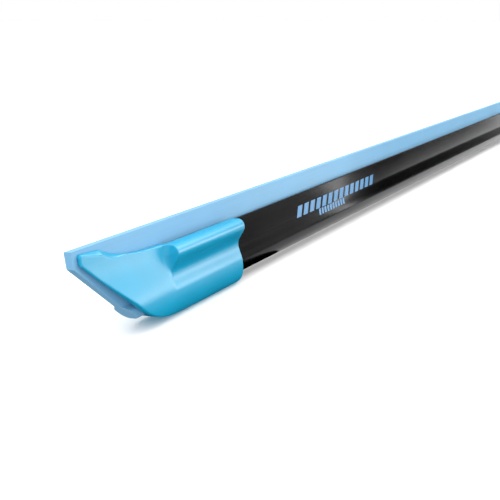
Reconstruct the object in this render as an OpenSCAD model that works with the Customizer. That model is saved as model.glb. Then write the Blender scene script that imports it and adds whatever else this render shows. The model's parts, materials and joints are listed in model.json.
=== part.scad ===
// Window squeegee head: an extruded channel holds a rubber blade by its bead,
// and a moulded clip slides over each end of the channel.
// Built with the blade upright, X along the length, the front face towards -Y.
// The whole head then leans back a little and stands on the flat feet of its clips.

/* [Rubber blade] */
// Length of the rubber blade
blade_len = 550; // [350:10:750]
// Height of the blade from the bottom of its bead to the working edge
blade_h = 24; // [20:0.5:29]
// Thickness of the blade
blade_t = 2.7; // [2:0.1:3.3]
// Width of the bead that the channel holds
bead_w = 6; // [5:0.2:7.2]
// Height of the bead
bead_h = 5; // [4:0.2:6]
// Radius of the bead's lower corners
bead_round = 1.2; // [0.6:0.1:1.6]
// Height of the square part of the blade's ends, above the 45 degree cut
end_square = 4.6; // [3:0.2:7]

/* [Channel] */
// How far the blade stands above the channel's lips
blade_out = 7; // [5:0.5:9]
// Thickness of the channel's lips and side walls
channel_wall = 1.7; // [1.4:0.1:2.2]
// Thickness of the wall around the bead
belly_wall = 1.35; // [1.1:0.05:1.8]
// Thickness of the channel's bottom
channel_floor = 1.2; // [1:0.1:2.4]
// Height over which the side walls widen into the wall around the bead
flare_h = 3.6; // [2.5:0.1:4.5]
// Depth of the lips' grip on the blade
lip_grip = 2.2; // [1.6:0.2:3]
// Width and height of the flare at the mouth between the lips
mouth_flare = 0.8; // [0.4:0.1:1]
// Relief between the blade and each side wall below the lips
wall_relief = 0.45; // [0.2:0.05:0.6]
// Bevel on the outer edge of each lip
lip_bevel = 0.4; // [0.2:0.05:0.6]

/* [End clips] */
// Distance from the blade's end to the clip's tip
clip_inset = 1.5; // [1:0.5:4]
// Length of the clip
clip_len = 66.5; // [60:0.5:80]
// Length of the clip's sleeve over the channel
sleeve_len = 35; // [28:1:42]
// Thickness of the sleeve's wall
sleeve_wall = 1.5; // [1.2:0.1:2]
// How far the finger ridge stands out from the waist
ridge_out = 3.7; // [2.5:0.1:4.5]
// Height of the finger ridge's rounded top edge
ridge_round = 2.4; // [1.8:0.1:3]
// Height from the ridge down to the waist
ridge_h = 6.2; // [5:0.1:7]
// Height of the clip's top above the channel's lips
clip_rise = 0.8; // [0.4:0.1:1.2]
// Height of the spur at the clip's tip above its top
spur_h = 5.2; // [3.6:0.2:5.6]
// Length of the spur's top, from the clip's tip to its peak
spur_len = 7.6; // [5:0.2:9]
// How far the spur's top falls from the tip to its peak
spur_fall = 0.6; // [0.2:0.1:1]
// Length over which the spur's back dies away into the clip's top
spur_fade = 7.5; // [5:0.5:9]
// Height over which the slanting end sweeps into the clip's bottom
heel_sweep = 7.5; // [5:0.5:9]
// Thickness of the front wing beside the blade
wing_wall = 2.5; // [2:0.1:3]
// Thickness of the front wing at its tip
wing_tip_wall = 1.2; // [1:0.1:2]
// Thickness of the clip's floor under the channel
clip_floor = 2.6; // [1.6:0.1:3]
// Distance between the blade's slanting end and the clip's, along the length
slant_gap = 1.9; // [1.4:0.1:3]
// Thickness of the back wing beside the blade, at its top
back_wing_wall = 3.7; // [3:0.1:4.5]
// Length of the bevel on the back wing's tip
tip_bevel = 5; // [3:0.5:7]
// Depth of the bevel along the back wing's slanting end
slant_bevel = 2.2; // [1:0.2:3]

/* [Fits] */
// Clearance on each side of the sliding blade
blade_clear = 0.1; // [0.05:0.05:0.2]
// Clearance on each side between the channel and the sleeve
sleeve_clear = 0.1; // [0.05:0.05:0.2]

/* [Stance] */
// How far the head leans back
lean = 8; // [4:1:10]

/* [Hidden] */
SMOOTH = 48;
CURVE_STEPS = 12;
EPS = 0.01;
BIG = 200;
// How square the rounded bottoms of the channel and of the clip are: 2 is an ellipse
CHANNEL_ROUND = 2.5;
CLIP_ROUND = 3;
// Heights of the widest places of the channel and of the clip, as shares of the bead's height
CREST_SHARE = 0.62;
CLIP_CREST_SHARE = 0.75;
// Half-width of the clip's foot, as a share of the clip's
FOOT_SHARE = 0.55;
// How far the widening below the waist starts under it
WAIST_STEP = 0.4;
// How far the front wing's flow into the belly ends above the clip's widest place
WING_FLOW = 1.4;
// Width of the spur's top beside the blade
SPUR_LAND = 0.4;
// Thickness of the sleeve's end wall, which stops the channel
STOP_WALL = 1;
// How far cuts along the length start before the blade's end
RUN_IN = 1;

// Heights in the blade's own frame: 0 is the bottom of the bead
lip_top = blade_h - blade_out;
clip_top = lip_top + clip_rise;
spur_top = clip_top + spur_h;
channel_bottom = -blade_clear - channel_floor;
clip_bottom = channel_bottom - sleeve_clear - clip_floor;
mouth_low = lip_top - mouth_flare;
grip_low = mouth_low - lip_grip;
cavity_top = bead_h + blade_clear;
crest_z = CREST_SHARE * bead_h;
clip_crest_z = CLIP_CREST_SHARE * bead_h;
flare_top = bead_h + flare_h;

// Half-widths
slot_half = blade_t / 2 + blade_clear;
relief_half = slot_half + wall_relief;
cavity_half = bead_w / 2 + blade_clear;
side_half = slot_half + channel_wall;
belly_half = cavity_half + belly_wall;
waist_half = side_half + sleeve_clear + sleeve_wall;
crest_half = belly_half + sleeve_clear + sleeve_wall;
ridge_half = waist_half + ridge_out;
wing_half = slot_half + wing_wall;
wing_tip_half = slot_half + wing_tip_wall;
back_wing_half = slot_half + back_wing_wall;

// Places along the length, measured from the blade's end
sleeve_from = clip_inset + clip_len - sleeve_len;
channel_from = sleeve_from + STOP_WALL;
channel_len = blade_len - 2 * channel_from;
slant_foot = blade_h - end_square;
slant = slant_foot + slant_gap;

// Heights of the ridge and the waist of the clip
ridge_z = clip_top - ridge_round;
waist_z = ridge_z - ridge_h;

// The lowest point of the leaning head stands on the floor
foot_half = FOOT_SHARE * crest_half;
foot_z = clip_bottom * cos(lean) + foot_half * sin(lean);

function ease(s) = (1 - cos(180 * s)) / 2;
function wave(a, b, za, zb) =
    [for (i = [0 : CURVE_STEPS]) let (s = i / CURVE_STEPS) [a + (b - a) * ease(s), za + (zb - za) * s]];
function bowl(half, z, bottom, power) =
    [for (i = [1 : CURVE_STEPS]) let (a = 90 * i / CURVE_STEPS)
        [half * pow(cos(a), 2 / power), z - (z - bottom) * pow(sin(a), 2 / power)]];
// Curve that starts a height above its base and dies away to it along the length
function fade(from, base, height, reach, to) =
    [for (i = [0 : 2 * CURVE_STEPS]) let (d = (to - from) * pow(i / CURVE_STEPS / 2, 2))
        [from + d, base + height * exp(-d / reach)]];
function backwards(points) = [for (i = [len(points) - 1 : -1 : 0]) points[i]];
function mirrored(points) = [for (i = [len(points) - 1 : -1 : 0]) [-points[i][0], points[i][1]]];

// Right half of the channel's outline, from its lip down to its bottom, grown by a clearance
function channel_half_outline(grow) = concat(
    [[side_half + grow - lip_bevel, lip_top + grow], [side_half + grow, lip_top + grow - lip_bevel]],
    wave(side_half + grow, belly_half + grow, flare_top, crest_z),
    bowl(belly_half + grow, crest_z, channel_bottom - grow, CHANNEL_ROUND));

// Right half of the clip's outline: spur, rounded ridge, waist and belly
clip_half_outline = concat(
    [[ridge_half - ridge_round, spur_top]],
    [for (a = [90 : -15 : 15]) [ridge_half - ridge_round * (1 - cos(a)), ridge_z + ridge_round * sin(a)]],
    wave(ridge_half, waist_half, ridge_z, waist_z),
    wave(waist_half, crest_half, waist_z - WAIST_STEP, clip_crest_z),
    bowl(crest_half, clip_crest_z, clip_bottom, CLIP_ROUND));

// Middle of the leaning head from front to back, between its two finger ridges
ridge_line = [for (p = clip_half_outline) if (p[1] <= clip_top) p];
back_y = max([for (p = ridge_line) p[0] * cos(lean) + p[1] * sin(lean)]);
front_y = min([for (p = ridge_line) -p[0] * cos(lean) + p[1] * sin(lean)]);
middle_y = (back_y + front_y) / 2;

// Turns a flat profile of the section into a bar along the length
module along(from, length) {
    translate([from, 0, 0]) rotate([90, 0, 90]) linear_extrude(length) children();
}

// Turns a side outline into a slab across the section, from one depth to another
module across(from, to) {
    translate([0, to, 0]) rotate([90, 0, 0]) linear_extrude(to - from) children();
}

// Leans the head back and stands it on the floor, with its middle at the origin
module stand() {
    translate([-blade_len / 2, -middle_y, -foot_z]) rotate([-lean, 0, 0]) children();
}

module mirrored_profile(half_outline) {
    polygon(concat(half_outline, mirrored(half_outline)));
}

// Section of the blade with its bead, grown by a clearance
module blade_profile(grow) {
    half = bead_w / 2 + grow;
    translate([-blade_t / 2 - grow, 0]) square([blade_t + 2 * grow, blade_h]);
    translate([-half, bead_round - grow]) square([2 * half, bead_h + 2 * grow - bead_round]);
    translate([-half + bead_round, -grow]) square([2 * (half - bead_round), bead_round + EPS]);
    for (side = [-1, 1])
        translate([side * (half - bead_round), bead_round - grow]) circle(bead_round, $fn = SMOOTH);
}

module channel_section() {
    difference() {
        mirrored_profile(channel_half_outline(0));
        blade_profile(blade_clear);
        translate([-relief_half, cavity_top - EPS])
            square([2 * relief_half, grip_low - cavity_top + EPS]);
        polygon([[-slot_half, mouth_low], [slot_half, mouth_low],
            [slot_half + mouth_flare, lip_top + EPS], [-slot_half - mouth_flare, lip_top + EPS]]);
    }
}

// Blade seen from the front: square ends above a 45 degree cut down to the bead
module blade_side() {
    polygon([[0, blade_h], [blade_len, blade_h], [blade_len, slant_foot],
        [blade_len - slant_foot, 0], [slant_foot, 0], [0, slant_foot]]);
}

module rubber_blade() {
    color("lightskyblue") stand() intersection() {
        along(0, blade_len) blade_profile(0);
        across(-bead_w, bead_w) blade_side();
    }
}

module channel() {
    color("#1b1b1d") stand() along(channel_from, channel_len) channel_section();
}

// Clip seen from the front: spur and slanting end, which sweeps into the bottom, and straight sleeve
module clip_side() {
    end = clip_inset + clip_len;
    peak = clip_inset + spur_len;
    polygon(concat(
        [[clip_inset, spur_top - spur_fall], [clip_inset + spur_fall, spur_top]],
        fade(peak, clip_top, spur_h - spur_fall, spur_fade, end),
        backwards(fade(slant - clip_bottom - heel_sweep, clip_bottom, heel_sweep, heel_sweep, end)),
        [[clip_inset, slant - clip_inset]]));
}

// Space in front of the thin wing, which flows into the belly and tapers towards its tip
module wing_cut() {
    low = clip_crest_z + WING_FLOW;
    hull() for (end = [[-RUN_IN, wing_tip_half], [sleeve_from - EPS, wing_half]])
        along(end[0], EPS) polygon([[-end[1], BIG], [-end[1], waist_z - WAIST_STEP], [-crest_half, low],
            [-BIG, low], [-BIG, BIG]]);
}

// Right half of the back wing's section, which carries on the channel's own outline
back_wing_outline = concat(
    [[0, BIG], [back_wing_half, BIG]],
    wave(back_wing_half, side_half, clip_top, waist_z),
    wave(side_half, belly_half, waist_z - WAIST_STEP, crest_z),
    bowl(belly_half, crest_z, clip_bottom, CLIP_ROUND));

// Space around the back wing, so that the sleeve stands out from it as a step
module back_wing_cut() {
    along(-RUN_IN, sleeve_from + RUN_IN) difference() {
        translate([0, -BIG]) square(2 * BIG);
        polygon(back_wing_outline);
    }
}

// Bevel on the back wing's tip, seen from above
module tip_bevel_cut() {
    translate([clip_inset, 0, waist_z]) linear_extrude(BIG)
        polygon([[-EPS, wing_tip_half], [tip_bevel, back_wing_half + EPS], [-EPS, back_wing_half + EPS]]);
}

// Bevel along the back wing's slanting end, down to its heel
module slant_bevel_cut() {
    translate([slant, 0, 0]) rotate([0, -45, 0]) translate([0, 0, -BIG / 2]) linear_extrude(BIG)
        polygon([[0, wing_tip_half], [slant_bevel, belly_half], [slant_bevel, BIG], [-BIG, BIG],
            [-BIG, wing_tip_half]]);
}

// Slope of the back wing's top, from the spur beside the blade outwards
module spur_slope() {
    along(-RUN_IN, sleeve_from)
        polygon([[slot_half + SPUR_LAND, spur_top + EPS], [back_wing_half, clip_top], [BIG, clip_top],
            [BIG, spur_top + EPS]]);
}

module clip_body() {
    difference() {
        intersection() {
            along(clip_inset, clip_len) mirrored_profile(clip_half_outline);
            across(-BIG, BIG) clip_side();
        }
        wing_cut();
        back_wing_cut();
        tip_bevel_cut();
        slant_bevel_cut();
        spur_slope();
        along(-EPS, blade_len) blade_profile(blade_clear);
        translate([0, -slot_half, bead_h]) cube([blade_len, 2 * slot_half, BIG]);
        along(channel_from - sleeve_clear, clip_len) sleeve_profile();
    }
}

// Section of the space for the channel, open at the top between the clip's sides
module sleeve_profile() {
    mirrored_profile(channel_half_outline(sleeve_clear));
    translate([-side_half - sleeve_clear, flare_top])
        square([2 * (side_half + sleeve_clear), BIG]);
}

// Everything below the floor, which leaves a level foot under the clip
module floor_cut() {
    translate([-BIG * 2, -BIG, -BIG]) cube([BIG * 4, BIG * 2, BIG]);
}

module end_clip_left() {
    color("deepskyblue") difference() {
        stand() clip_body();
        floor_cut();
    }
}

module end_clip_right() {
    color("deepskyblue") mirror([1, 0, 0]) difference() {
        stand() clip_body();
        floor_cut();
    }
}

channel();
rubber_blade();
end_clip_left();
end_clip_right();
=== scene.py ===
"""Window squeegee head: its finished surfaces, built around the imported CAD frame.

An extruded channel holds a rubber blade by its bead, and a moulded clip slides over each end.
Shapes are drawn in the head's own section frame, then leaned back with it:
x runs from the blade's left end, n points out of the front face, and w goes up the blade from its bead.
"""

import json
import math

import bmesh
import bpy
import numpy as np
from bpy.props import FloatProperty, FloatVectorProperty, PointerProperty
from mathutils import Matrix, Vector


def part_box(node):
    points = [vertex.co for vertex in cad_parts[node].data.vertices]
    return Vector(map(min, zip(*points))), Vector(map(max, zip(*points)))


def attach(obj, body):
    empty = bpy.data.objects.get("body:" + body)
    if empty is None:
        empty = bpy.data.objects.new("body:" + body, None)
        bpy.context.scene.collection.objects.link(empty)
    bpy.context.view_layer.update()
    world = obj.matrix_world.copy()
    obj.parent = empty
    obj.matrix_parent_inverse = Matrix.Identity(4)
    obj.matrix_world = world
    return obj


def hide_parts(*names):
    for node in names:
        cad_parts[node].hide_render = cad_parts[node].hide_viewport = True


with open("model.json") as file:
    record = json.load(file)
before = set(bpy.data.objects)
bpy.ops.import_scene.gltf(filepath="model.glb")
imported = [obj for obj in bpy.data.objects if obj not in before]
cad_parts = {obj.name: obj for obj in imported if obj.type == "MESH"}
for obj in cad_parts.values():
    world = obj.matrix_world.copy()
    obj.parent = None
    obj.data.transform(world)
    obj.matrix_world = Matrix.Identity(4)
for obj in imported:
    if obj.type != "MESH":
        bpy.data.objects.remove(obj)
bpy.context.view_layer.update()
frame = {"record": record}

bl_info = {
    "name": "Window squeegee head",
    "version": (1, 0, 0),
    "blender": (4, 5, 0),
    "location": "View3D > Sidebar > Squeegee",
    "description": "Builds a window squeegee head from its sizes and finishes",
    "category": "Add Mesh",
}

MM = 0.001
WHITE = (1.0, 1.0, 1.0, 1.0)
FAR = 200 * MM

# The section's own proportions, which the user does not change
CHANNEL_CREST, CLIP_CREST = 0.62, 0.8  # height of the widest place, as a share of the bead's height
CHANNEL_BOWL, CLIP_BOWL = 2.5, 2.6  # how square the rounded bottom is; 2 is an ellipse
FLARE_STEPS = 28
FLARE_ABOVE = 3.6 * MM  # from the bead's top up to where the channel's side starts to widen
RIDGE_TO_WAIST = 6.2 * MM
WAIST_STEP = 0.4 * MM
SWELL_BELOW = 2 * MM  # from the spur's top down to where the front wing starts to widen
FRONT_RUN, BACK_RUN = 2.6 * MM, 1.8 * MM  # length over which each wing rises to the sleeve
SPUR_ROUND, BACK_ROUND, SIDE_ROUND = 0.3 * MM, 0.4 * MM, 0.4 * MM
FOOT_ROUND, HOLLOW_ROUND = 0.15 * MM, 0.16 * MM
MARK_OUT, MARK_IN, MARK_LEAN = 0.02 * MM, 0.04 * MM, 0.45

BLADE_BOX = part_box("rubber_blade")
CHANNEL_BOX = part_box("channel")
CLIP_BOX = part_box("end_clip_left")
BLADE_LEN = BLADE_BOX[1][0] - BLADE_BOX[0][0]
CHANNEL_LEN = CHANNEL_BOX[1][0] - CHANNEL_BOX[0][0]
CLIP_LEN = CLIP_BOX[1][0] - CLIP_BOX[0][0]
CLIP_INSET = CLIP_BOX[0][0] - BLADE_BOX[0][0]
SEAT_AXIS = next(m["axis"] for m in frame["record"]["mounts"] if m["name"] == "handle_seat")
LEAN = math.atan2(-SEAT_AXIS[1], -SEAT_AXIS[2])


def linear(hex_colour):
    """A colour written as sRGB hex, as the linear colour with alpha that a shader takes."""
    parts = [int(hex_colour[i : i + 2], 16) / 255 for i in (1, 3, 5)]
    return tuple(c / 12.92 if c <= 0.04045 else ((c + 0.055) / 1.055) ** 2.4 for c in parts) + (1.0,)


def length(name, description, default):
    """A length that the user can change."""
    return FloatProperty(
        name=name, description=description, default=default, min=0, precision=5, unit="LENGTH"
    )


def strength(name, description, default, **more):
    """A strength of light that the user can change."""
    return FloatProperty(name=name, description=description, default=default, min=0, **more)


def colour(name, description, hex_colour):
    """A colour that the user can change."""
    return FloatVectorProperty(
        name=name, description=description, default=linear(hex_colour)[:3], min=0, max=1, subtype="COLOR"
    )


class RubberBladeSizes(bpy.types.PropertyGroup):
    """Sizes and colour of the rubber blade"""

    length: length("Length", "Length of the rubber blade", BLADE_LEN)
    height: length("Height", "Height from the bottom of the bead to the working edge", 24 * MM)
    thick: length("Thickness", "Thickness of the blade", 2.7 * MM)
    bead_width: length("Bead width", "Width of the bead that the channel holds", 6 * MM)
    bead_height: length("Bead height", "Height of the bead", 5 * MM)
    bead_round: length(
        "Bead space rounding", "Radius of the lower corners of the space for the bead", 1.2 * MM
    )
    bead_foot: length("Bead rounding", "Radius of the bead's own lower corners", 2.2 * MM)
    shoulder: length("Bead shoulder", "How far the bead's top falls from the blade to its sides", 1.4 * MM)
    end_square: length(
        "Square end", "Height of the square part of each end, above the slanting cut", 4.6 * MM
    )
    edge: length("Edge", "Rounding of the cut edges", 0.12 * MM)
    tint: colour("Rubber", "Colour of the rubber", "#70A7CB")


class ChannelSizes(bpy.types.PropertyGroup):
    """Sizes and colour of the extruded channel"""

    lip_drop: length("Lip drop", "Distance from the working edge down to the channel's lips", 7 * MM)
    wall: length("Wall", "Thickness of the lips and side walls", 1.7 * MM)
    belly: length("Belly wall", "Thickness of the wall around the bead", 1.35 * MM)
    floor: length("Floor", "Thickness of the channel's bottom", 1.2 * MM)
    grip: length("Grip", "Depth of the lips' grip on the blade", 2.2 * MM)
    flare: length("Mouth flare", "Width and height of the flare between the lips", 0.8 * MM)
    relief: length("Relief", "Space between the blade and each wall below the lips", 0.45 * MM)
    bevel: length("Lip rounding", "Rounding of each lip's outer edge", 0.4 * MM)
    clear: length("Clearance", "Space left around the blade", 0.1 * MM)
    tint: colour("Anodising", "Colour of the anodised surface", "#151517")
    ink: colour("Ink", "Colour of the printed marks", "#1278AE")


class EndClipSizes(bpy.types.PropertyGroup):
    """Sizes and colour of the two end clips"""

    sleeve: length("Sleeve", "Length of the sleeve over the channel", 35 * MM)
    wall: length("Wall", "Thickness of the sleeve's wall", 1.5 * MM)
    ridge_out: length("Ridge", "How far the finger ridge stands out from the waist", 3.7 * MM)
    ridge_round: length("Ridge rounding", "Radius of the ridge's top edge", 2.4 * MM)
    rise: length("Rise", "Height of the clip's top above the channel's lips", 0.8 * MM)
    waist_wall: length("Waist", "Thickness of the sleeve's wall at its waist", 1.9 * MM)
    spur: length("Spur", "Height of the spur at the tip above the clip's top", 5.2 * MM)
    spur_length: length("Spur length", "Length of the spur's top, from the tip to its peak", 7.6 * MM)
    spur_fall: length("Spur fall", "How far the spur's top falls from the tip to its peak", 0.6 * MM)
    spur_fade: length("Spur fade", "Length over which the spur's back dies away", 7.5 * MM)
    heel: length("Heel", "Height over which the slanting end sweeps into the bottom", 7.5 * MM)
    wing: length("Front wing", "Thickness of the front wing beside the blade", 2.5 * MM)
    wing_tip: length("Front wing tip", "Thickness of the front wing at its tip", 1.2 * MM)
    back_wing: length("Back wing", "Thickness of the back wing beside the blade, at its top", 3.7 * MM)
    floor: length("Floor", "Thickness of the clip's floor under the channel", 2.6 * MM)
    slant_gap: length("Slant gap", "Distance between the blade's slanting end and the clip's", 1.9 * MM)
    clear: length("Clearance", "Space between the sleeve and the channel", 0.1 * MM)
    step: length("Mesh step", "Distance between the points of the clip's mesh", 0.34 * MM)
    tint: colour("Plastic", "Colour of the moulded plastic", "#0095BC")


class StageSettings(bpy.types.PropertyGroup):
    """Floor, lights and camera"""

    floor_tint: colour("Floor", "Colour of the paper floor", "#F8F8F8")
    room: strength("Room light", "Light that the white room gives", 1.05)
    key: strength("Key light", "Strength of the softbox at the far end", 1.0)
    top: strength("Top light", "Strength of the light overhead", 1.6)
    gloss: strength("Gloss light", "Strength of the softbox that only gloss sees", 3.4)
    strip: strength("Strip light", "Power of the low strip of light", 0.16, unit="POWER")
    lens: FloatProperty(name="Lens", description="Focal length in millimetres", default=53.87, min=10)


# ---------------------------------------------------------------- flat shapes


def ease(s):
    """Smooth step from 0 to 1."""
    return (1 - np.cos(np.pi * s)) / 2


def wave(a, b, za, zb, steps):
    """Points of an S-curve from depth a at height za to depth b at height zb."""
    s = np.linspace(0, 1, steps + 1)
    return np.c_[a + (b - a) * ease(s), za + (zb - za) * s]


def swell(a, b, za, zb, steps):
    """Points that widen from a to b on the way down, slowly at first and most of it near the end."""
    part = np.linspace(0, 1, steps + 1)
    return np.c_[a + (b - a) * part**3 * (4 - 3 * part), za + (zb - za) * part]


def bowl(half, z, bottom, power, steps):
    """Points of a rounded bottom, from its widest place down to the middle."""
    a = np.radians(np.linspace(0, 90, steps + 1)[1:])
    return np.c_[half * np.cos(a) ** (2 / power), z - (z - bottom) * np.sin(a) ** (2 / power)]


def fade(start, base, height, reach, end, steps):
    """Points of a curve that starts a height above its base and dies away to it along x."""
    d = (end - start) * np.linspace(0, 1, steps + 1) ** 2
    return np.c_[start + d, base + height * np.exp(-d / reach)]


def arc(centre, radius, start, end, steps):
    """Points of an arc between two angles in degrees."""
    a = np.radians(np.linspace(start, end, steps + 1))
    return np.c_[centre[0] + radius * np.cos(a), centre[1] + radius * np.sin(a)]


def mirrored(points):
    """The same points on the other side, in the order that closes the outline."""
    return np.asarray(points)[::-1] * (-1, 1)


def rounded(points, radii, steps=6):
    """A closed outline with each corner rounded by its own radius."""
    points, out = np.asarray(points, float), []
    for i, radius in enumerate(radii):
        corner = points[i]
        to_last, to_next = points[i - 1] - corner, points[(i + 1) % len(points)] - corner
        to_last, to_next = to_last / np.linalg.norm(to_last), to_next / np.linalg.norm(to_next)
        half = math.acos(np.clip(to_last @ to_next, -1, 1)) / 2
        if radius <= 0 or half > math.radians(89):
            out.append(corner)
            continue
        reach = radius / math.tan(half)
        middle = corner + (to_last + to_next) / np.linalg.norm(to_last + to_next) * radius / math.sin(half)
        a, b = corner + to_last * reach - middle, corner + to_next * reach - middle
        turn = math.pi - 2 * half
        for s in np.linspace(0, 1, steps + 1):
            out.append(middle + (a * math.sin((1 - s) * turn) + b * math.sin(s * turn)) / math.sin(turn))
    return np.array(out)


class Section:
    """Heights and half-widths of the head's section, worked out from the user's sizes."""

    def __init__(self, scene):
        blade, channel, clip = scene.squeegee_blade, scene.squeegee_channel, scene.squeegee_clip
        self.blade, self.channel, self.clip = blade, channel, clip
        self.lip_top = blade.height - channel.lip_drop
        self.clip_top = self.lip_top + clip.rise
        self.spur_top = self.clip_top + clip.spur
        self.channel_bottom = -channel.clear - channel.floor
        self.clip_bottom = self.channel_bottom - clip.clear - clip.floor
        self.mouth_low = self.lip_top - channel.flare
        self.grip_low = self.mouth_low - channel.grip
        self.cavity_top = blade.bead_height + channel.clear
        self.crest_z = CHANNEL_CREST * blade.bead_height
        self.clip_crest_z = CLIP_CREST * blade.bead_height
        self.flare_top = blade.bead_height + FLARE_ABOVE
        self.slot_half = blade.thick / 2 + channel.clear
        self.relief_half = self.slot_half + channel.relief
        self.cavity_half = blade.bead_width / 2 + channel.clear
        self.side_half = self.slot_half + channel.wall
        self.belly_half = self.cavity_half + channel.belly
        self.waist_half = self.side_half + clip.clear + clip.waist_wall
        self.crest_half = self.belly_half + clip.clear + clip.wall
        self.ridge_half = self.side_half + clip.clear + clip.wall + clip.ridge_out
        self.sleeve_from = CLIP_INSET + CLIP_LEN - clip.sleeve
        self.channel_from = (blade.length - CHANNEL_LEN) / 2
        self.slant_foot = blade.height - blade.end_square
        self.slant = self.slant_foot + clip.slant_gap
        self.ridge_z = self.clip_top - clip.ridge_round
        self.waist_z = self.ridge_z - RIDGE_TO_WAIST
        cos, sin = math.cos(LEAN), math.sin(LEAN)
        self.y0 = BLADE_BOX[1][1] - blade.thick / 2 * cos - blade.height * sin
        self.z0 = BLADE_BOX[1][2] - blade.thick / 2 * sin - blade.height * cos

    def stand(self, points):
        """Takes points from the section frame to where the leaning head stands."""
        x, n, w = np.asarray(points, float).T
        cos, sin = math.cos(LEAN), math.sin(LEAN)
        return np.c_[x - self.blade.length / 2, self.y0 - n * cos + w * sin, self.z0 + n * sin + w * cos]

    def channel_side(self, grow):
        """Half-width against height of the channel's outer wall, from its straight side to its bottom."""
        side, belly = self.side_half + grow, self.belly_half + grow
        return np.r_[
            wave(side, belly, self.flare_top, self.crest_z, FLARE_STEPS),
            bowl(belly, self.crest_z, self.channel_bottom - grow, CHANNEL_BOWL, FLARE_STEPS),
        ]


# ---------------------------------------------------------------- meshes


def new_piece(name, body, node, material, vertices, faces):
    """Makes a smooth-shaded piece that rides on a CAD body and, if a node is named, stands for it."""
    mesh = bpy.data.meshes.new(name)
    mesh.from_pydata([tuple(v) for v in vertices], [], [tuple(f) for f in faces])
    if mesh.validate():
        raise RuntimeError(f"{name} has a face that Blender had to mend")
    mesh.update()
    mesh.polygons.foreach_set("use_smooth", [True] * len(mesh.polygons))
    piece = bpy.data.objects.new(name, mesh)
    bpy.context.scene.collection.objects.link(piece)
    mesh.materials.append(material)
    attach(piece, body)
    if node:
        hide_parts(node)
    return piece


def extruded(outline, stations):
    """Vertices and faces of a closed outline carried along x through the stations, with flat ends."""
    outline, count = np.asarray(outline), len(outline)
    rings = [np.c_[np.full(count, x), outline] for x in stations]
    faces = []
    for ring in range(len(stations) - 1):
        low, high = ring * count, (ring + 1) * count
        for i in range(count):
            j = (i + 1) % count
            faces.append((low + i, high + i, high + j, low + j))
    faces.append(tuple(range(count)))
    faces.append(tuple((len(stations) - 1) * count + i for i in reversed(range(count))))
    return np.concatenate(rings), faces


def soften_edges(piece, width, segments, angle):
    """Rounds a piece's sharp edges in its mesh."""
    mesh = bmesh.new()
    mesh.from_mesh(piece.data)
    bmesh.ops.recalc_face_normals(mesh, faces=mesh.faces)
    sharp = [e for e in mesh.edges if e.is_manifold and e.calc_face_angle(0) > angle]
    bmesh.ops.bevel(
        mesh, geom=sharp, offset=width, offset_type="OFFSET", segments=segments, profile=0.5, affect="EDGES",
        clamp_overlap=True,
    )
    bmesh.ops.triangulate(mesh, faces=[f for f in mesh.faces if len(f.verts) > 4])
    mesh.to_mesh(piece.data)
    mesh.free()
    piece.data.polygons.foreach_set("use_smooth", [True] * len(piece.data.polygons))
    weighted = piece.modifiers.new("even_normals", "WEIGHTED_NORMAL")
    weighted.keep_sharp = True


class OutlineField:
    """Signed distance to a closed flat outline, negative inside, read from a fine table."""

    STEP = 0.1 * MM

    def __init__(self, points, low, high):
        points = np.asarray(points, float)
        self.low = np.array(low)
        self.count = np.ceil((np.array(high) - self.low) / self.STEP).astype(int) + 1
        u, v = np.meshgrid(*(l + self.STEP * np.arange(c) for l, c in zip(low, self.count)), indexing="ij")
        nearest, inside = np.full(u.shape, np.inf), np.zeros(u.shape, bool)
        for (u0, v0), (u1, v1) in zip(points, np.roll(points, -1, axis=0)):
            du, dv = u1 - u0, v1 - v0
            if du == dv == 0:
                continue
            along = np.clip(((u - u0) * du + (v - v0) * dv) / (du * du + dv * dv), 0, 1)
            nearest = np.minimum(nearest, (u - u0 - along * du) ** 2 + (v - v0 - along * dv) ** 2)
            if dv:
                inside ^= ((v0 > v) != (v1 > v)) & (u < u0 + (v - v0) * du / dv)
        self.table = np.where(inside, -1, 1) * np.sqrt(nearest)

    def at(self, u, v):
        """The distance at each point, between the table's four nearest values."""
        i = np.clip((u - self.low[0]) / self.STEP, 0, self.count[0] - 1.001)
        j = np.clip((v - self.low[1]) / self.STEP, 0, self.count[1] - 1.001)
        i0, j0 = i.astype(int), j.astype(int)
        i, j, t = i - i0, j - j0, self.table
        low_side = t[i0, j0] * (1 - i) + t[i0 + 1, j0] * i
        high_side = t[i0, j0 + 1] * (1 - i) + t[i0 + 1, j0 + 1] * i
        return low_side * (1 - j) + high_side * j


def smooth_max(a, b, reach):
    """The larger of two distances, rounded where they meet: the solid common to both."""
    h = np.clip(0.5 + 0.5 * (a - b) / reach, 0, 1)
    return b * (1 - h) + a * h + reach * h * (1 - h)


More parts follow.
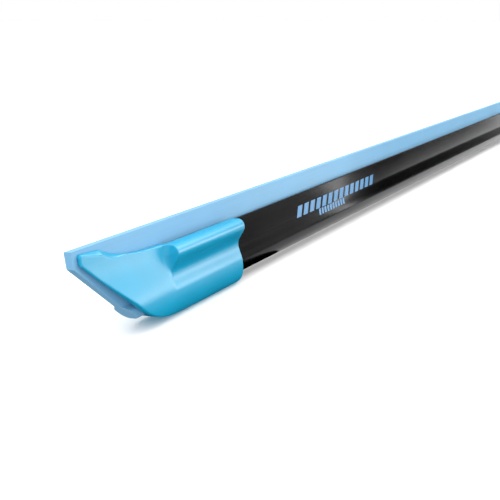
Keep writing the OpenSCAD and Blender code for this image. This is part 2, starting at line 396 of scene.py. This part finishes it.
def clip_field(section):
    """A function of x, n and w: the signed distance to the clip's surface, negative in the plastic."""
    s, clip = section, section.clip
    low, high = (-10 * MM, s.clip_bottom - 1.5 * MM), (10 * MM, s.spur_top + 1.5 * MM)

    ridge = np.r_[
        [(s.ridge_half - clip.ridge_round, FAR)],
        arc((s.ridge_half - clip.ridge_round, s.ridge_z), clip.ridge_round, 90, 0, 14),
        wave(s.ridge_half, s.waist_half, s.ridge_z, s.waist_z, 70)[1:],
        wave(s.waist_half, s.crest_half, s.waist_z - WAIST_STEP, s.clip_crest_z, 60),
        bowl(s.crest_half, s.clip_crest_z, s.clip_bottom, CLIP_BOWL, 60),
    ]
    sleeve = OutlineField(np.r_[ridge, mirrored(ridge)], low, high)

    back_half, belly = s.slot_half + clip.back_wing, bowl(
        s.belly_half, s.crest_z, s.clip_bottom, CLIP_BOWL, 24
    )
    back = np.r_[
        [(back_half, FAR)],
        wave(back_half, s.side_half, s.ridge_z + 1 * MM, s.waist_z, 24),
        wave(s.side_half, s.belly_half, s.waist_z - WAIST_STEP, s.crest_z, 24),
        belly,
    ]
    wings = []
    for thick in (clip.wing_tip, clip.wing):
        half = s.slot_half + thick
        front = np.r_[
            [(half, FAR)],
            swell(half, s.crest_half, s.spur_top - SWELL_BELOW, s.clip_crest_z, 70),
            bowl(s.crest_half, s.clip_crest_z, s.clip_bottom, CLIP_BOWL, 60),
        ]
        wings.append(OutlineField(np.r_[front, mirrored(back)], low, high))

    top, end = s.spur_top, CLIP_INSET + CLIP_LEN
    peak = CLIP_INSET + clip.spur_length
    top_line = np.r_[
        [(CLIP_INSET, top - clip.spur_fall), (CLIP_INSET + clip.spur_fall, top)],
        fade(peak, s.clip_top, clip.spur - clip.spur_fall, clip.spur_fade, end, 40),
    ]
    heel_line = fade(s.slant - s.clip_bottom - clip.heel, s.clip_bottom, clip.heel, clip.heel, end, 40)
    side_points = np.r_[top_line, heel_line[::-1], [(CLIP_INSET, s.slant - CLIP_INSET)]]
    side = OutlineField(side_points, (-2 * MM, low[1]), (end + 2 * MM, high[1]))

    space = channel_space(s)
    bead = OutlineField(blade_outline(s, s.channel.clear, FAR), low, high)

    def field(x, n, w):
        along = np.clip((x - CLIP_INSET) / (s.sleeve_from - CLIP_INSET), 0, 1)
        wing = wings[0].at(n, w) * (1 - along) + wings[1].at(n, w) * along
        # The front wing sweeps softly up to the sleeve's end wall; the back one steps to it more sharply
        run = np.where(n > 0, FRONT_RUN, BACK_RUN)
        rise = np.clip((x - s.sleeve_from + run) / run, 0, 1) ** 3
        body = wing * (1 - rise) + sleeve.at(n, w) * rise

        # The front spur's top slopes down outwards, more so at its peak than at its tip
        slope = 0.35 + 0.75 * np.clip((x - CLIP_INSET) / (6 * MM), 0, 1)
        slope *= 1 - np.clip((x - peak - 1.5 * MM) / (6 * MM), 0, 1) ** 2
        facet = (w - np.interp(x, *top_line.T) + (n - s.slot_half - 0.4 * MM) * slope) / np.sqrt(1 + slope**2)
        body = smooth_max(body, np.where(n > 0, facet, -FAR), SPUR_ROUND)

        back_n = -n
        tip = (back_n - s.slot_half - clip.wing_tip - 0.5 * (x - CLIP_INSET)) / math.sqrt(1.25)
        tip = np.where(w > s.waist_z - 2 * MM, tip, -FAR)
        deep = (x + w - s.slant) / math.sqrt(2)
        facet_rate = (s.belly_half - s.slot_half - clip.wing_tip) / (2.2 * MM)
        slant = (back_n - s.slot_half - clip.wing_tip - deep * facet_rate) / math.sqrt(1 + facet_rate**2)
        drop = clip.spur / (back_half - s.slot_half - 0.4 * MM)
        spur = (w - top + (back_n - s.slot_half - 0.4 * MM) * drop) / math.sqrt(1 + drop**2)
        spur = np.where(x < s.sleeve_from - 2 * MM, spur, -FAR)
        for facet in (tip, slant, spur):
            body = smooth_max(body, np.where(n < 0, facet, -FAR), BACK_ROUND)

        body = smooth_max(body, side.at(x, w), SIDE_ROUND)
        foot = -(s.z0 + n * math.sin(LEAN) + w * math.cos(LEAN))
        body = smooth_max(body, foot, FOOT_ROUND)

        channel = np.maximum(space.at(n, w), s.channel_from - clip.clear - x)
        # The front wing's inner edge is relieved along its slanting end, more so towards the heel
        undercut = (0.5 + 2.0 * np.clip((x - CLIP_INSET) / (16 * MM), 0, 1)) * MM - np.maximum(deep, 0)
        relieved = np.where(
            (n > 0) & (w > 0), (n - s.slot_half - np.maximum(undercut, 0)) / math.sqrt(2), FAR
        )
        hollow = np.minimum(np.minimum(channel, bead.at(n, w)), np.where(undercut > 0, relieved, FAR))
        return smooth_max(body, -hollow, HOLLOW_ROUND)

    return field


def surface_net(field, axes):
    """Quads of the surface where the field is zero: one vertex in each grid cell that it passes through."""
    grid = np.meshgrid(*axes, indexing="ij")
    value = field(*grid)
    shape = tuple(c - 1 for c in value.shape)
    total, count, quads = np.zeros(shape + (3,)), np.zeros(shape), []
    crossings = []
    for axis in range(3):
        near = [slice(None)] * 3
        far = [slice(None)] * 3
        near[axis], far[axis] = slice(None, -1), slice(1, None)
        near, far = tuple(near), tuple(far)
        a, b = value[near], value[far]
        crossing = (a < 0) != (b < 0)
        share = np.where(crossing, a / np.where(crossing, a - b, 1), 0)
        place = np.stack([g[near] * (1 - share) + g[far] * share for g in grid], axis=-1)
        crossings.append((crossing, a < 0))
        first, second = [k for k in range(3) if k != axis]
        for i in (0, 1):
            for j in (0, 1):
                part = [slice(None)] * 3
                part[first] = slice(i, i + shape[first])
                part[second] = slice(j, j + shape[second])
                part = tuple(part)
                total += place[part] * crossing[part][..., None]
                count += crossing[part]
    index = np.full(shape, -1)
    index[count > 0] = np.arange(np.count_nonzero(count))
    vertices = total[count > 0] / count[count > 0][:, None]
    for axis, (crossing, inside) in enumerate(crossings):
        first, second = (axis + 1) % 3, (axis + 2) % 3
        where = np.argwhere(crossing)
        flip = inside[crossing]
        corners = []
        for i, j in ((-1, -1), (0, -1), (0, 0), (-1, 0)):
            cell = where.copy()
            cell[:, first] += i
            cell[:, second] += j
            corners.append(index[tuple(cell.T)])
        corners = np.array(corners).T
        quads.append(np.where(flip[:, None], corners, corners[:, ::-1]))
    return vertices, np.concatenate(quads)


def relax(vertices, quads):
    """Moves each vertex halfway to the middle of its neighbours, which evens out the mesh."""
    total, count = np.zeros_like(vertices), np.zeros(len(vertices))
    for k in range(4):
        for other in (quads[:, k - 1], quads[:, (k + 1) % 4]):
            for axis in range(3):
                total[:, axis] += np.bincount(quads[:, k], vertices[other, axis], len(vertices))
            count += np.bincount(quads[:, k], minlength=len(vertices))
    return (vertices + total / count[:, None]) / 2


def settle(vertices, field, limit, rounds=3):
    """Moves the vertices onto the surface where the field is zero."""
    tiny = 0.08 * MM
    for _ in range(rounds):
        x, n, w = vertices.T
        value = field(x, n, w)
        slope = np.stack(
            [
                (field(x + dx, n + dn, w + dw) - field(x - dx, n - dn, w - dw)) / (2 * tiny)
                for dx, dn, dw in tiny * np.eye(3)
            ],
            axis=1,
        )
        steep = np.maximum((slope**2).sum(axis=1), 0.2)
        move = np.clip(value / steep, -limit, limit)[:, None] * slope
        vertices = vertices - move
    return vertices


def graded(stops):
    """Grid lines through stops of (place, spacing up to the next place), evenly spaced between stops."""
    lines = [stops[0][0]]
    for (a, spacing), (b, _) in zip(stops, stops[1:]):
        lines += list(np.linspace(a, b, max(1, round((b - a) / spacing)) + 1)[1:])
    return np.array(lines)


def channel_space(s):
    """Distance to the space that the sleeve leaves for the channel, open at the top."""
    half = np.r_[[(s.side_half + s.clip.clear, FAR)], s.channel_side(s.clip.clear)]
    return OutlineField(
        np.r_[half, mirrored(half)], (-10 * MM, s.clip_bottom - 1.5 * MM), (10 * MM, s.spur_top + 1.5 * MM)
    )


def blade_outline(s, grow, height):
    """Closed outline of the blade and its bead, grown by a clearance."""
    blade = s.blade
    thick, half = blade.thick / 2 + grow, blade.bead_width / 2 + grow
    shoulder = 0 if grow else blade.shoulder
    right = [
        (thick, height), (thick, blade.bead_height + grow),
        (half, blade.bead_height + grow - shoulder), (half, -grow),
    ]
    radii = [0, 0.2 * MM, 1.5 * MM, blade.bead_foot] if shoulder else [0, 0, 0, blade.bead_round]
    return rounded(np.r_[right, mirrored(right)], radii + radii[::-1], 8)


# ---------------------------------------------------------------- materials


def add_node(tree, kind, links=None, values=None, **settings):
    """Adds a node with its settings, its sockets' constant values and the outputs linked to its sockets."""
    node = tree.nodes.new(kind)
    for name, value in settings.items():
        setattr(node, name, value)
    for name, value in (values or {}).items():
        node.inputs[name].default_value = value
    for name, source in (links or {}).items():
        tree.links.new(source, node.inputs[name])
    return node


def new_material(name, **shader):
    """An empty node material: its tree, its shader with the constant values given, and its output."""
    material = bpy.data.materials.new(name)
    material.use_nodes = True
    tree = material.node_tree
    tree.nodes.clear()
    bsdf = add_node(
        tree, "ShaderNodeBsdfPrincipled", values={k.replace("_", " "): v for k, v in shader.items()}
    )
    add_node(tree, "ShaderNodeOutputMaterial", {"Surface": bsdf.outputs["BSDF"]})
    return material, tree, bsdf


def ramp(tree, source, stops):
    """A colour ramp over a source, with its stops as (place, linear colour)."""
    node = add_node(tree, "ShaderNodeValToRGB", {"Fac": source})
    elements = node.color_ramp.elements
    while len(elements) < len(stops):
        elements.new(0.5)
    for element, (place, tint) in zip(elements, stops):
        element.position, element.color = place, tint
    return node.outputs["Color"]


def shaded(tint, factor):
    """A tint made lighter or darker, as an opaque colour."""
    return tuple(min(1.0, c * factor) for c in tint[:3]) + (1.0,)


def rubber_material(tint):
    """Natural rubber, filled and dyed pale blue, moulded as a sheet and cut.

    It is matt with a waxy bloom: soft cloudy patches, faint lines along its length and a fine grain.
    """
    material, tree, bsdf = new_material(
        "natural_rubber_moulded_pale_blue", IOR=1.52, Specular_IOR_Level=0.2, Sheen_Weight=0.06,
        Sheen_Roughness=0.5
    )
    place = add_node(tree, "ShaderNodeTexCoord").outputs["Object"]
    clouds = add_node(tree, "ShaderNodeTexNoise", {"Vector": place}, {"Scale": 1 / (22 * MM), "Detail": 4.0})
    stretched = add_node(
        tree, "ShaderNodeMapping", {"Vector": place}, {"Scale": (0.02, 1, 1)}, vector_type="POINT"
    )
    lines = add_node(
        tree, "ShaderNodeTexNoise", {"Vector": stretched.outputs["Vector"]},
        {"Scale": 1 / (0.7 * MM), "Detail": 3.0}
    )
    both = add_node(
        tree, "ShaderNodeMix", {"A": clouds.outputs["Fac"], "B": lines.outputs["Fac"]}, {"Factor": 0.35},
        data_type="FLOAT",
    )
    tree.links.new(
        ramp(
            tree, both.outputs["Result"],
            [(0.3, shaded(tint, 0.93)), (0.5, shaded(tint, 1.0)), (0.72, shaded(tint, 1.06))],
        ),
        bsdf.inputs["Base Color"],
    )
    roughness = add_node(
        tree, "ShaderNodeMapRange", {"Value": clouds.outputs["Fac"]}, {"To Min": 0.5, "To Max": 0.66}
    )
    tree.links.new(roughness.outputs["Result"], bsdf.inputs["Roughness"])
    # Its real grain is about 0.05 mm; it is drawn at 0.3 mm so that it shows
    grain = add_node(tree, "ShaderNodeTexNoise", {"Vector": place}, {"Scale": 1 / (0.3 * MM), "Detail": 2.0})
    relief = add_node(
        tree, "ShaderNodeMix", {"A": grain.outputs["Fac"], "B": lines.outputs["Fac"]}, {"Factor": 0.5},
        data_type="FLOAT",
    )
    bump = add_node(
        tree, "ShaderNodeBump", {"Height": relief.outputs["Result"]},
        {"Strength": 0.25, "Distance": 0.03 * MM}
    )
    tree.links.new(bump.outputs["Normal"], bsdf.inputs["Normal"])
    return material


def anodised_material(tint):
    """Aluminium, extruded and anodised black.

    The dyed oxide is dark and smooth with a soft mirror, drawn out along the length by the lines of the die.
    """
    material, tree, bsdf = new_material("aluminium_extruded_black_anodised", Metallic=1.0)
    place = add_node(tree, "ShaderNodeTexCoord").outputs["Object"]
    stretched = add_node(tree, "ShaderNodeMapping", {"Vector": place}, {"Scale": (0.004, 1, 1)})
    lines = add_node(
        tree, "ShaderNodeTexNoise", {"Vector": stretched.outputs["Vector"]},
        {"Scale": 1 / (0.35 * MM), "Detail": 3.0}
    )
    smudges = add_node(tree, "ShaderNodeTexNoise", {"Vector": place}, {"Scale": 1 / (18 * MM), "Detail": 3.0})
    tree.links.new(
        ramp(
            tree, lines.outputs["Fac"],
            [(0.3, shaded(tint, 0.8)), (0.5, shaded(tint, 1.0)), (0.75, shaded(tint, 1.35))],
        ),
        bsdf.inputs["Base Color"],
    )
    finish = add_node(
        tree, "ShaderNodeMix", {"A": lines.outputs["Fac"], "B": smudges.outputs["Fac"]}, {"Factor": 0.5},
        data_type="FLOAT",
    )
    roughness = add_node(
        tree, "ShaderNodeMapRange", {"Value": finish.outputs["Result"]}, {"To Min": 0.16, "To Max": 0.28}
    )
    tree.links.new(roughness.outputs["Result"], bsdf.inputs["Roughness"])
    bump = add_node(
        tree, "ShaderNodeBump", {"Height": lines.outputs["Fac"]}, {"Strength": 0.2, "Distance": 0.02 * MM}
    )
    tree.links.new(bump.outputs["Normal"], bsdf.inputs["Normal"])
    return material


def plastic_material(tint):
    """Acetal, dyed sky blue and injection moulded.

    It has a deep even colour under a satin skin that blurs its highlights, with faint flow marks.
    """
    material, tree, bsdf = new_material(
        "acetal_moulded_sky_blue", IOR=1.48, Subsurface_Weight=0.08, Subsurface_Scale=1.5 * MM,
        Subsurface_Radius=(0.3, 0.8, 1.0),
    )
    place = add_node(tree, "ShaderNodeTexCoord").outputs["Object"]
    flow = add_node(
        tree, "ShaderNodeTexNoise", {"Vector": place},
        {"Scale": 1 / (14 * MM), "Detail": 3.0, "Distortion": 0.6}
    )
    tree.links.new(
        ramp(
            tree, flow.outputs["Fac"],
            [(0.3, shaded(tint, 0.95)), (0.5, shaded(tint, 1.0)), (0.7, shaded(tint, 1.04))],
        ),
        bsdf.inputs["Base Color"],
    )
    skin = add_node(tree, "ShaderNodeTexNoise", {"Vector": place}, {"Scale": 1 / (0.9 * MM), "Detail": 3.0})
    roughness = add_node(
        tree, "ShaderNodeMapRange", {"Value": skin.outputs["Fac"]}, {"To Min": 0.3, "To Max": 0.42}
    )
    tree.links.new(roughness.outputs["Result"], bsdf.inputs["Roughness"])
    bump = add_node(
        tree, "ShaderNodeBump", {"Height": skin.outputs["Fac"]}, {"Strength": 0.12, "Distance": 0.03 * MM}
    )
    tree.links.new(bump.outputs["Normal"], bsdf.inputs["Normal"])
    return material


def ink_material(tint):
    """Epoxy ink, screen printed in one pass.

    It is opaque and satin, a little thin where the mesh of the screen left less of it.
    """
    material, tree, bsdf = new_material("epoxy_ink_screen_printed_blue", IOR=1.5)
    place = add_node(tree, "ShaderNodeTexCoord").outputs["Object"]
    mesh = add_node(tree, "ShaderNodeTexNoise", {"Vector": place}, {"Scale": 1 / (0.5 * MM), "Detail": 2.0})
    tree.links.new(
        ramp(tree, mesh.outputs["Fac"], [(0.3, shaded(tint, 0.85)), (0.6, shaded(tint, 1.05))]),
        bsdf.inputs["Base Color"],
    )
    roughness = add_node(
        tree, "ShaderNodeMapRange", {"Value": mesh.outputs["Fac"]}, {"To Min": 0.35, "To Max": 0.5}
    )
    tree.links.new(roughness.outputs["Result"], bsdf.inputs["Roughness"])
    return material


def paper_material(tint):
    """White background paper, matt, with a faint tooth."""
    material, tree, bsdf = new_material("paper_calendered_white", Specular_IOR_Level=0.1)
    place = add_node(tree, "ShaderNodeTexCoord").outputs["Object"]
    tooth = add_node(tree, "ShaderNodeTexNoise", {"Vector": place}, {"Scale": 1 / (1.2 * MM), "Detail": 3.0})
    tree.links.new(
        ramp(tree, tooth.outputs["Fac"], [(0.3, shaded(tint, 0.99)), (0.7, shaded(tint, 1.0))]),
        bsdf.inputs["Base Color"],
    )
    roughness = add_node(
        tree, "ShaderNodeMapRange", {"Value": tooth.outputs["Fac"]}, {"To Min": 0.85, "To Max": 0.95}
    )
    tree.links.new(roughness.outputs["Result"], bsdf.inputs["Roughness"])
    return material


def painted_shade_card_material():
    """Black, which gives nothing back: a card seen only in reflections, as painted shade."""
    return new_material(
        "painted_shade_black", Base_Color=linear("#030303"), Roughness=0.9, Specular_IOR_Level=0.0
    )[0]


# ---------------------------------------------------------------- operators


class SQUEEGEE_OT_rubber_blade(bpy.types.Operator):
    """Builds the rubber blade with its bead and its slanting ends"""

    bl_idname = "squeegee.rubber_blade"
    bl_label = "Rubber blade"

    def execute(self, context):
        s = Section(context.scene)
        blade = s.blade
        vertices, faces = extruded(blade_outline(s, 0, blade.height), np.linspace(0, blade.length, 3))
        mesh = bmesh.new()
        corners = [mesh.verts.new(v) for v in vertices]
        for face in faces:
            mesh.faces.new([corners[i] for i in face])
        for x, away in ((s.slant_foot, -1), (blade.length - s.slant_foot, 1)):
            cut = bmesh.ops.bisect_plane(
                mesh, geom=mesh.verts[:] + mesh.edges[:] + mesh.faces[:], plane_co=(x, 0, 0),
                plane_no=(away, 0, -1), clear_outer=True,
            )
            edges = [e for e in cut["geom_cut"] if isinstance(e, bmesh.types.BMEdge)]
            bmesh.ops.contextual_create(mesh, geom=edges)
        mesh.verts.index_update()
        vertices = s.stand([v.co for v in mesh.verts])
        faces = [[v.index for v in f.verts] for f in mesh.faces]
        mesh.free()
        piece = new_piece(
            "pale_blue_blade", "rubber_blade", "rubber_blade", rubber_material(blade.tint),
            vertices, faces
        )
        soften_edges(piece, blade.edge, 2, math.radians(40))
        return {"FINISHED"}


class SQUEEGEE_OT_channel(bpy.types.Operator):
    """Builds the extruded channel that holds the blade"""

    bl_idname = "squeegee.channel"
    bl_label = "Channel"

    def execute(self, context):
        s = Section(context.scene)
        channel = s.channel
        outer = np.r_[
            arc((s.side_half - channel.bevel, s.lip_top - channel.bevel), channel.bevel, 90, 0, 6),
            s.channel_side(0),
        ]
        low, half = -channel.clear, s.cavity_half
        inner = np.array(
            [
                (s.slot_half + channel.flare, s.lip_top),
                (s.slot_half, s.mouth_low),
                (s.slot_half, s.grip_low),
                (s.relief_half, s.grip_low),
                (s.relief_half, s.cavity_top),
                (half, s.cavity_top),
                *arc((half - s.blade.bead_round, low + s.blade.bead_round), s.blade.bead_round, 0, -90, 6),
            ]
        )
        outline = np.r_[outer, mirrored(outer)[1:], inner * (-1, 1), inner[::-1]]
        start, end = s.channel_from, s.channel_from + CHANNEL_LEN
        vertices, faces = extruded(outline, np.linspace(start, end, 5))
        piece = new_piece(
            "black_channel", "channel", "channel",
            anodised_material(channel.tint),
            s.stand(vertices), faces,
        )
        soften_edges(piece, 0.12 * MM, 2, math.radians(50))
        return {"FINISHED"}


class SQUEEGEE_OT_printed_marks(bpy.types.Operator):
    """Prints two rows of slanting bars on each face of the channel"""

    bl_idname = "squeegee.printed_marks"
    bl_label = "Printed marks"

    def execute(self, context):
        s = Section(context.scene)
        wall = np.r_[[(s.side_half, s.lip_top)], s.channel_side(0)]
        depth, height = wall[: FLARE_STEPS + 2].T
        # Each row's start, end, top, bottom, pitch and gap
        rows = (
            (111 * MM, 186 * MM, 12.4 * MM, 8.3 * MM, 5.2 * MM, 1.7 * MM),
            (128 * MM, 152 * MM, 8.0 * MM, 5.8 * MM, 2.4 * MM, 0.9 * MM),
        )
        vertices, faces = [], []
        for start, end, top, bottom, pitch, gap in rows:
            for left in np.arange(start, end - pitch / 2, pitch):
                base, steps = len(vertices), 9
                for w in np.linspace(top, bottom, steps):
                    n = np.interp(-w, -height, depth)
                    shift = (w - bottom) * MARK_LEAN
                    for x in (left + shift, left + pitch - gap + shift):
                        vertices += [(x, n + MARK_OUT, w), (x, n - MARK_IN, w)]
                for k in range(steps - 1):
                    a = base + 4 * k
                    faces += [
                        (a, a + 4, a + 6, a + 2), (a + 1, a + 3, a + 7, a + 5), (a, a + 1, a + 5, a + 4),
                        (a + 2, a + 6, a + 7, a + 3),
                    ]
                end_ring = base + 4 * (steps - 1)
                faces += [
                    (base, base + 2, base + 3, base + 1),
                    (end_ring, end_ring + 1, end_ring + 3, end_ring + 2)
                ]
        front = np.array(vertices)
        back = front * (-1, -1, 1) + (s.blade.length, 0, 0)
        count = len(front)
        faces += [tuple(i + count for i in face) for face in faces]
        piece = new_piece(
            "printed_marks", "channel", None, ink_material(s.channel.ink),
            s.stand(np.r_[front, back]), faces,
        )
        piece.data.polygons.foreach_set("use_smooth", [False] * len(piece.data.polygons))
        return {"FINISHED"}


class SQUEEGEE_OT_end_clips(bpy.types.Operator):
    """Builds the two moulded end clips, each the mirror of the other"""

    bl_idname = "squeegee.end_clips"
    bl_label = "End clips"

    def execute(self, context):
        s = Section(context.scene)
        field, step = clip_field(s), s.clip.step
        end = CLIP_INSET + CLIP_LEN
        axes = (
            graded(
                [
                    (CLIP_INSET - 0.7 * MM, 0.7 * step), (CLIP_INSET + 2 * MM, step),
                    (s.sleeve_from - 4 * MM, 0.7 * step),
                    (s.sleeve_from + 1.5 * MM, 3 * step), (end - 1.6 * MM, 0.6 * step), (end + 0.7 * MM, 0),
                ]
            ),
            graded([(-s.ridge_half - 0.83 * MM, step), (s.ridge_half + 0.87 * MM, 0)]),
            graded([(s.clip_bottom - 0.77 * MM, step), (s.spur_top + 0.93 * MM, 0)]),
        )
        vertices, quads = surface_net(field, axes)
        for _ in range(3):
            vertices = settle(relax(vertices, quads), field, 0.5 * step)
        left = s.stand(vertices)
        material = plastic_material(s.clip.tint)
        for name, body, points, faces in (
            ("left_end_clip", "end_clip_left", left, quads[:, ::-1]),
            ("right_end_clip", "end_clip_right", left * (-1, 1, 1), quads),
        ):
            new_piece(name, body, body, material, points, faces)
        return {"FINISHED"}


class SQUEEGEE_OT_stage(bpy.types.Operator):
    """Lays the paper floor, sets the lights and the dark cards that paint shade into reflections, and places
    the camera
    """

    bl_idname = "squeegee.stage"
    bl_label = "Stage"

    def execute(self, context):
        scene, settings = context.scene, context.scene.squeegee_stage
        reach = 20.0
        mesh = bpy.data.meshes.new("paper_floor")
        mesh.from_pydata(
            [(-reach, -reach, 0), (reach, -reach, 0), (reach, reach, 0), (-reach, reach, 0)], [],
            [(0, 1, 2, 3)]
        )
        mesh.materials.append(paper_material(settings.floor_tint))
        floor = bpy.data.objects.new("paper_floor", mesh)
        scene.collection.objects.link(floor)
        floor.visible_diffuse = False

        world = bpy.data.worlds.new("white_room")
        world.use_nodes = True
        tree = world.node_tree
        tree.nodes.clear()
        seen = add_node(tree, "ShaderNodeLightPath").outputs["Is Camera Ray"]
        # The room is brighter towards the key light and dimmer behind the camera
        way = add_node(tree, "ShaderNodeTexCoord").outputs["Generated"]
        facing = add_node(
            tree, "ShaderNodeVectorMath", {0: way}, {1: (-0.7, -0.1, 0.7)}, operation="DOT_PRODUCT"
        )
        level = add_node(
            tree, "ShaderNodeMapRange", {"Value": facing.outputs["Value"]},
            {"From Min": -1.0, "To Min": 0.2 * settings.room, "To Max": 1.65 * settings.room},
        )
        light = add_node(
            tree, "ShaderNodeBackground", {"Strength": level.outputs["Result"]}, {"Color": WHITE}
        )
        backdrop = add_node(tree, "ShaderNodeBackground", values={"Color": WHITE, "Strength": 1.0})
        mix = add_node(tree, "ShaderNodeMixShader", {"Fac": seen})
        tree.links.new(light.outputs["Background"], mix.inputs[1])
        tree.links.new(backdrop.outputs["Background"], mix.inputs[2])
        add_node(tree, "ShaderNodeOutputWorld", {"Surface": mix.outputs["Shader"]})
        scene.world = world

        blade_start = Vector((BLADE_BOX[0][0], 0, 0))
        for name, towards, wide, power, matt in (
            ("key_light", (0.68, -0.60, 0.40), 52, settings.key, True),
            ("top_light", (0.2, 0.1, 1.0), 80, settings.top, True),
            ("gloss_light", (0.51, -0.49, 0.707), 34, settings.gloss, False),
        ):
            lamp = bpy.data.lights.new(name, "SUN")
            lamp.angle, lamp.energy = math.radians(wide), power
            holder = bpy.data.objects.new(name, lamp)
            holder.location = towards
            holder.visible_diffuse = matt
            holder.rotation_euler = Vector(towards).to_track_quat("Z", "Y").to_euler()
            scene.collection.objects.link(holder)

        # A low strip of light that only gloss sees, which draws the narrow highlight along the clip's belly
        strip = bpy.data.lights.new("strip_light", "AREA")
        strip.shape, strip.size, strip.size_y, strip.energy = "RECTANGLE", 0.20, 0.028, settings.strip
        holder = bpy.data.objects.new("strip_light", strip)
        holder.location = blade_start + Vector((0.15, -0.11, 0.021))
        holder.rotation_euler = Vector((0.7, -0.7, 0)).to_track_quat("Z", "Y").to_euler()
        holder.visible_diffuse = False
        scene.collection.objects.link(holder)

        # Dark cards that only gloss sees, which paint shade into reflections: one stands where the channel
        # mirrors it and paints a dark shaded wall into its reflection, one lies before the clip and paints
        # the floor's shade into the belly's reflection
        stand = [(0.090, -0.036, 0), (0.65, -0.070, 0), (0.65, -0.070, 0.070), (0.090, -0.036, 0.070)]
        lie = [(-0.1, -0.09, 0.0002), (0.10, -0.09, 0.0002), (0.10, 0.06, 0.0002), (-0.1, 0.06, 0.0002)]
        for name, corners in (("standing_card", stand), ("lying_card", lie)):
            card = bpy.data.meshes.new(name)
            card.from_pydata([Vector(v) + blade_start for v in corners], [], [(0, 1, 2, 3)])
            card.materials.append(painted_shade_card_material())
            flag = bpy.data.objects.new(name, card)
            scene.collection.objects.link(flag)
            flag.visible_camera = flag.visible_diffuse = False
            flag.visible_shadow = flag.visible_transmission = False

        data = bpy.data.cameras.new("view_camera")
        data.lens, data.sensor_width = settings.lens, 36
        data.clip_start, data.clip_end = 0.01, 100
        camera = bpy.data.objects.new("view_camera", data)
        camera.location = blade_start + Vector((-0.12707, -0.13120, 0.08250))
        azimuth, pitch = math.radians(58.2), math.radians(17.08)
        aim = Vector(
            (math.sin(azimuth) * math.cos(pitch), math.cos(azimuth) * math.cos(pitch), -math.sin(pitch))
        )
        camera.rotation_euler = aim.to_track_quat("-Z", "Y").to_euler()
        scene.collection.objects.link(camera)
        scene.camera = camera
        scene.view_settings.view_transform = "Standard"
        return {"FINISHED"}


class SQUEEGEE_PT_head(bpy.types.Panel):
    """Sizes, colours and build steps of the squeegee head"""

    bl_idname = "SQUEEGEE_PT_head"
    bl_label = "Squeegee head"
    bl_space_type = "VIEW_3D"
    bl_region_type = "UI"
    bl_category = "Squeegee"

    def draw(self, context):
        for title, settings, operators in PANEL_PARTS:
            box = self.layout.box()
            box.label(text=title)
            group = getattr(context.scene, settings)
            for name in group.bl_rna.properties.keys():
                if name not in {"rna_type", "name"}:
                    box.prop(group, name)
            for operator in operators:
                box.operator(operator.bl_idname)


PANEL_PARTS = (
    ("Rubber blade", "squeegee_blade", (SQUEEGEE_OT_rubber_blade,)),
    ("Channel", "squeegee_channel", (SQUEEGEE_OT_channel, SQUEEGEE_OT_printed_marks)),
    ("End clips", "squeegee_clip", (SQUEEGEE_OT_end_clips,)),
    ("Stage", "squeegee_stage", (SQUEEGEE_OT_stage,)),
)
SETTINGS = {
    "squeegee_blade": RubberBladeSizes,
    "squeegee_channel": ChannelSizes,
    "squeegee_clip": EndClipSizes,
    "squeegee_stage": StageSettings,
}
CLASSES = (*SETTINGS.values(), *(operator for part in PANEL_PARTS for operator in part[2]), SQUEEGEE_PT_head)


def register():
    """Adds the add-on's classes and its settings on the scene."""
    for kind in CLASSES:
        bpy.utils.register_class(kind)
    for name, kind in SETTINGS.items():
        setattr(bpy.types.Scene, name, PointerProperty(type=kind))


def unregister():
    """Takes the add-on's settings and classes away again."""
    for name in SETTINGS:
        delattr(bpy.types.Scene, name)
    for kind in reversed(CLASSES):
        bpy.utils.unregister_class(kind)


def main():
    """Builds the whole head on its stage."""
    register()
    bpy.ops.squeegee.rubber_blade()
    bpy.ops.squeegee.channel()
    bpy.ops.squeegee.printed_marks()
    bpy.ops.squeegee.end_clips()
    bpy.ops.squeegee.stage()


if __name__ == "__main__":
    main()
